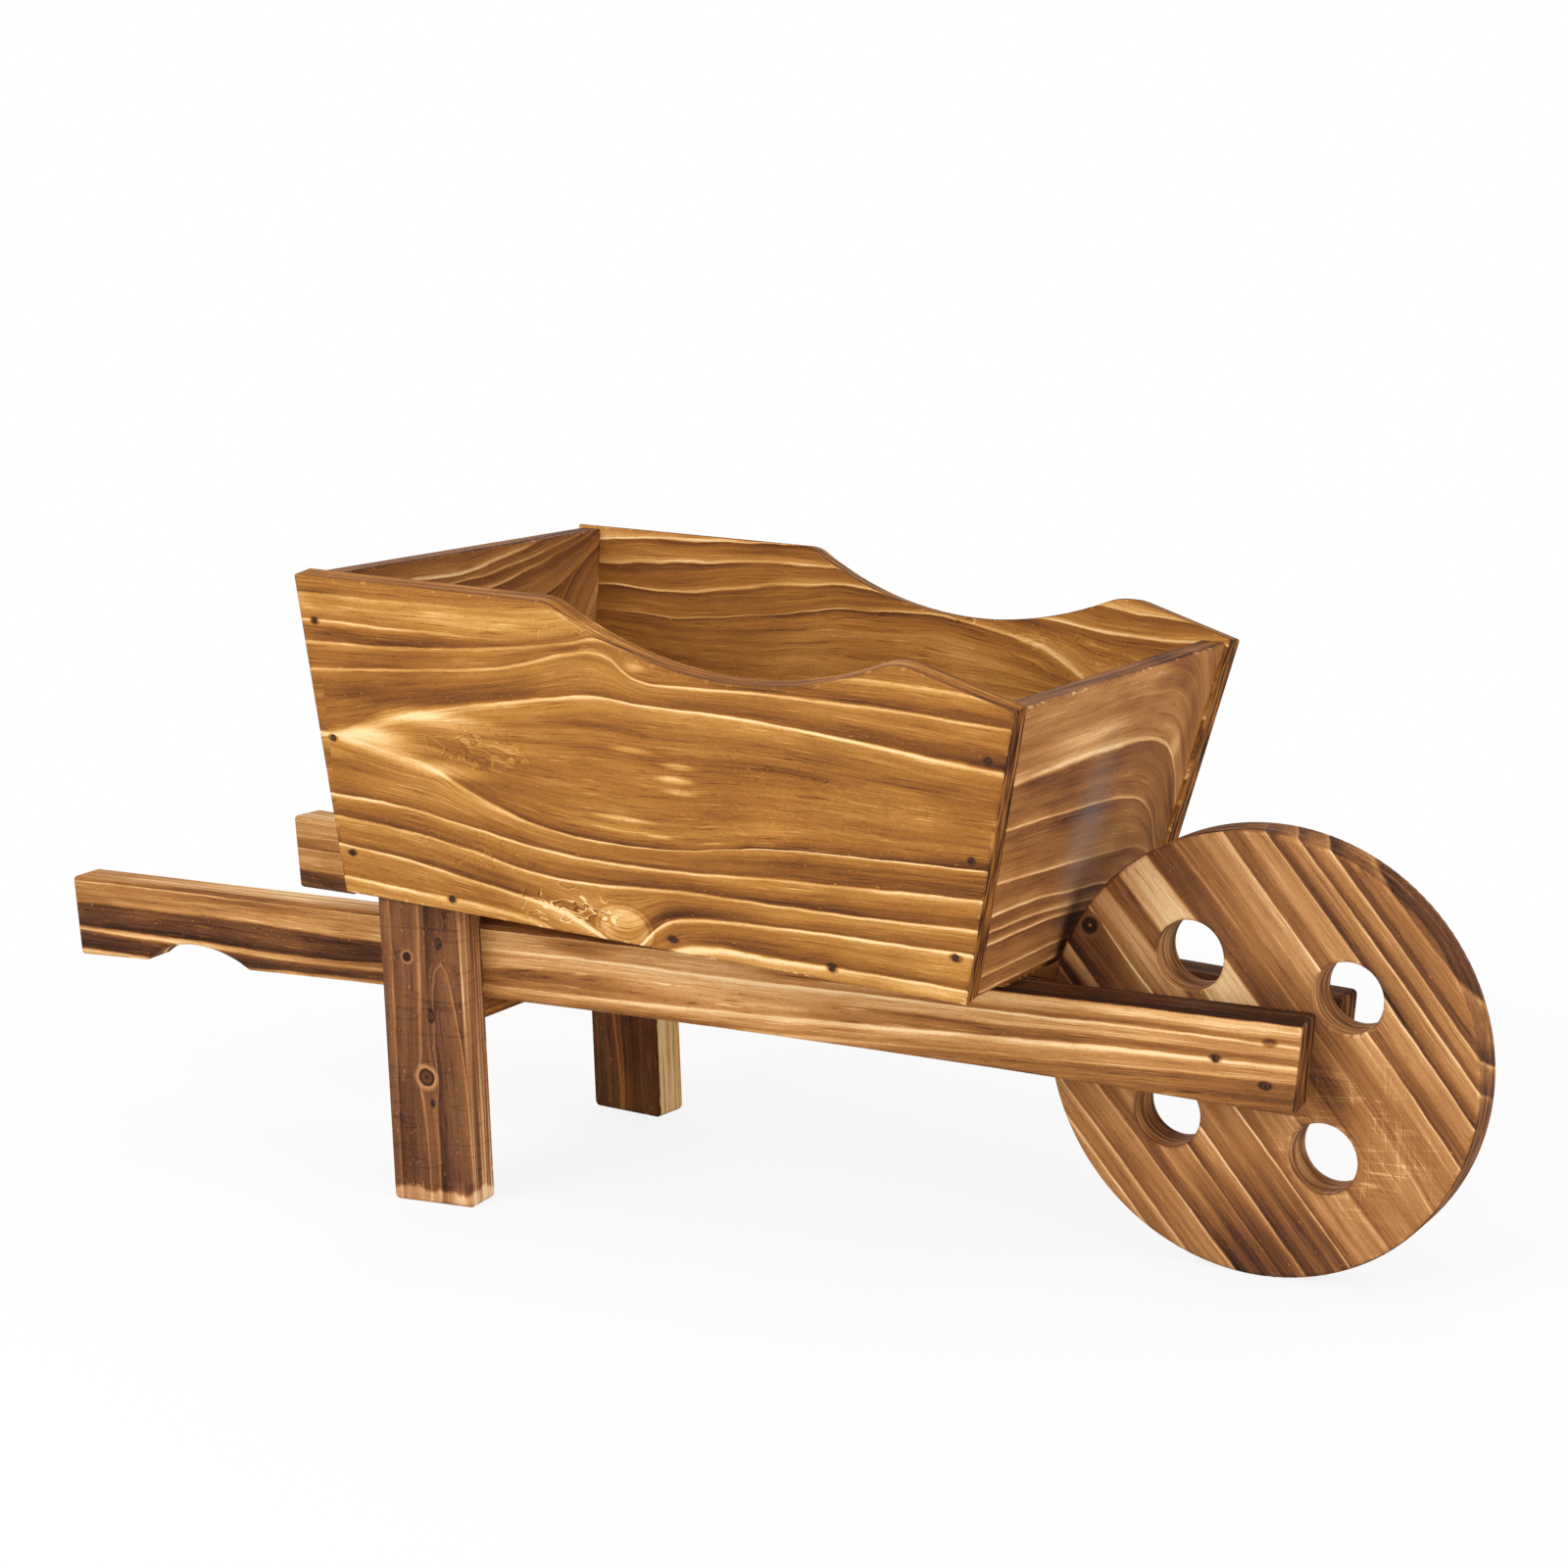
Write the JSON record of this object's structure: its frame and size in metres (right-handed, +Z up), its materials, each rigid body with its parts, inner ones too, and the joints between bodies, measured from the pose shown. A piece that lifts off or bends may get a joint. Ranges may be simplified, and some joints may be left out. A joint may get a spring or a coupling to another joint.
{
  "type": "wooden wheelbarrow planter",
  "caption": "Wooden wheelbarrow planter: a flared box with scooped sides on splayed handle rails, with legs, a crossbar and a drilled disc wheel that turns on a wooden axle.",
  "frame": {"origin": "on the ground, under the middle of the cart's length and width", "axes": "+X from the handles to the wheel, +Y to the left of someone who holds the handles, +Z up"},
  "size_m": [0.8996, 0.3006, 0.3888],
  "materials": {
    "side_board": "charred and brushed fir, golden brown with pale raised grain lines",
    "end_board": "charred and brushed fir, mid brown with arched pale grain lines",
    "floor_board": "sawn fir, lightly charred",
    "rail_bar": "charred and brushed fir, golden with brown stripes along the bar",
    "leg_post": "charred and brushed fir, dark chocolate brown with pale lines",
    "batten": "charred fir, dark",
    "dowel": "plain turned wood",
    "wheel_disc": "charred and brushed fir, mid brown with dark bands and pale lines",
    "nail": "dull dark steel",
    "screw": "dull steel"
  },
  "bodies": {
    "cart": {"right_side_panel": "side_board", "left_side_panel": "side_board", "handle_end_panel": "end_board", "wheel_end_panel": "end_board", "floor_board_right": "floor_board", "floor_board_middle": "floor_board", "floor_board_left": "floor_board", "right_rail": "rail_bar", "left_rail": "rail_bar", "right_leg": "leg_post", "left_leg": "leg_post", "leg_crossbar": "batten", "rear_bearer": "batten", "front_bearer": "batten", "axle_dowel": "dowel", "right_side_nails": "nail", "left_side_nails": "nail", "floor_nails": "nail", "box_screws": "screw", "right_leg_nails": "nail", "left_leg_nails": "nail", "right_axle_nails": "nail", "left_axle_nails": "nail"},
    "wheel": {"wheel": "wheel_disc"}
  },
  "joints": [
    {"name": "wheel_turn", "type": "hinge", "parent": "cart", "child": "wheel", "pos_m": [0.325, 0, 0.125], "axis": [0, 1, 0], "continuous": true}
  ]
}
